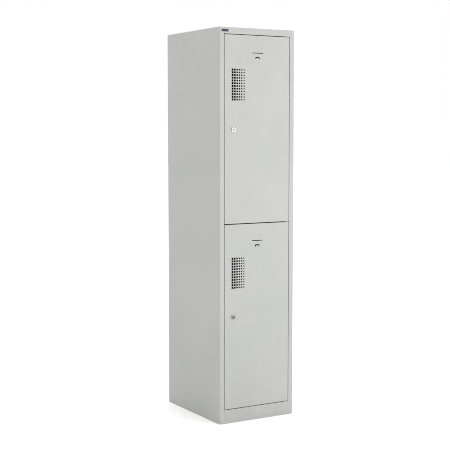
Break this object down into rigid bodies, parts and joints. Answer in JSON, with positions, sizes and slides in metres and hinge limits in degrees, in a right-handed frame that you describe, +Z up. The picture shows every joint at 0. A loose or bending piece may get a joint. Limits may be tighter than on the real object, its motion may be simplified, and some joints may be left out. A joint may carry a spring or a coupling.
{
  "type": "two-door steel locker",
  "caption": "Tall light grey steel locker with one door above another, each with graded vent holes, a label slit and a cam lock, on a flush plinth.",
  "frame": {"origin": "on the floor, under the middle of the carcass", "axes": "+Z up, front and doors towards -Y, +X to the right as seen from the front"},
  "size_m": [0.4, 0.5024, 1.8],
  "materials": {
    "grey_powder_coat": "fine satin powder coat, light grey",
    "bright_steel": "bright nickel-plated, satin turned face",
    "zinc_steel": "zinc-plated steel",
    "white_nylon": "natural nylon",
    "grey_rubber": "matt moulded rubber",
    "badge_blue": "dark slate blue, satin"
  },
  "bodies": {
    "carcass": {"left_side_panel": "grey_powder_coat", "right_side_panel": "grey_powder_coat", "back_panel": "grey_powder_coat", "top_panel": "grey_powder_coat", "header_rail": "grey_powder_coat", "plinth": "grey_powder_coat", "floor_panel": "grey_powder_coat", "middle_shelf": "grey_powder_coat", "middle_hinge_lug": "grey_powder_coat", "top_hinge_pin": "zinc_steel", "middle_hinge_pin": "zinc_steel", "bottom_hinge_pin": "zinc_steel", "bottom_hinge_washer": "zinc_steel", "door_buffers": "grey_rubber", "upper_coat_hook": "grey_powder_coat", "lower_coat_hook": "grey_powder_coat", "hook_rivets": "zinc_steel", "badge_plate": "badge_blue"},
    "upper_door": {"upper_door_skin": "grey_powder_coat", "upper_door_stiffener": "grey_powder_coat", "upper_hinge_bushes": "white_nylon", "upper_lock_housing": "bright_steel", "upper_lock_nut": "zinc_steel"},
    "upper_lock": {"upper_lock_plug": "bright_steel", "upper_lock_cam": "zinc_steel", "upper_cam_screw": "zinc_steel"},
    "lower_door": {"lower_door_skin": "grey_powder_coat", "lower_door_stiffener": "grey_powder_coat", "lower_hinge_bushes": "white_nylon", "lower_lock_housing": "bright_steel", "lower_lock_nut": "zinc_steel"},
    "lower_lock": {"lower_lock_plug": "bright_steel", "lower_lock_cam": "zinc_steel", "lower_cam_screw": "zinc_steel"}
  },
  "joints": [
    {"name": "upper_door_hinge", "type": "hinge", "parent": "carcass", "child": "upper_door", "pos_m": [0.1659, -0.245, 0.91875], "axis": [0, 0, 1], "range_deg": [0, 110]},
    {"name": "lower_door_hinge", "type": "hinge", "parent": "carcass", "child": "lower_door", "pos_m": [0.1659, -0.245, 0.0655], "axis": [0, 0, 1], "range_deg": [0, 110]},
    {"name": "upper_lock_turn", "type": "hinge", "parent": "upper_door", "child": "upper_lock", "pos_m": [-0.1274, -0.25, 1.34377], "axis": [0, 1, 0], "range_deg": [0, 90]},
    {"name": "lower_lock_turn", "type": "hinge", "parent": "lower_door", "child": "lower_lock", "pos_m": [-0.1274, -0.25, 0.49052], "axis": [0, 1, 0], "range_deg": [0, 90]}
  ]
}
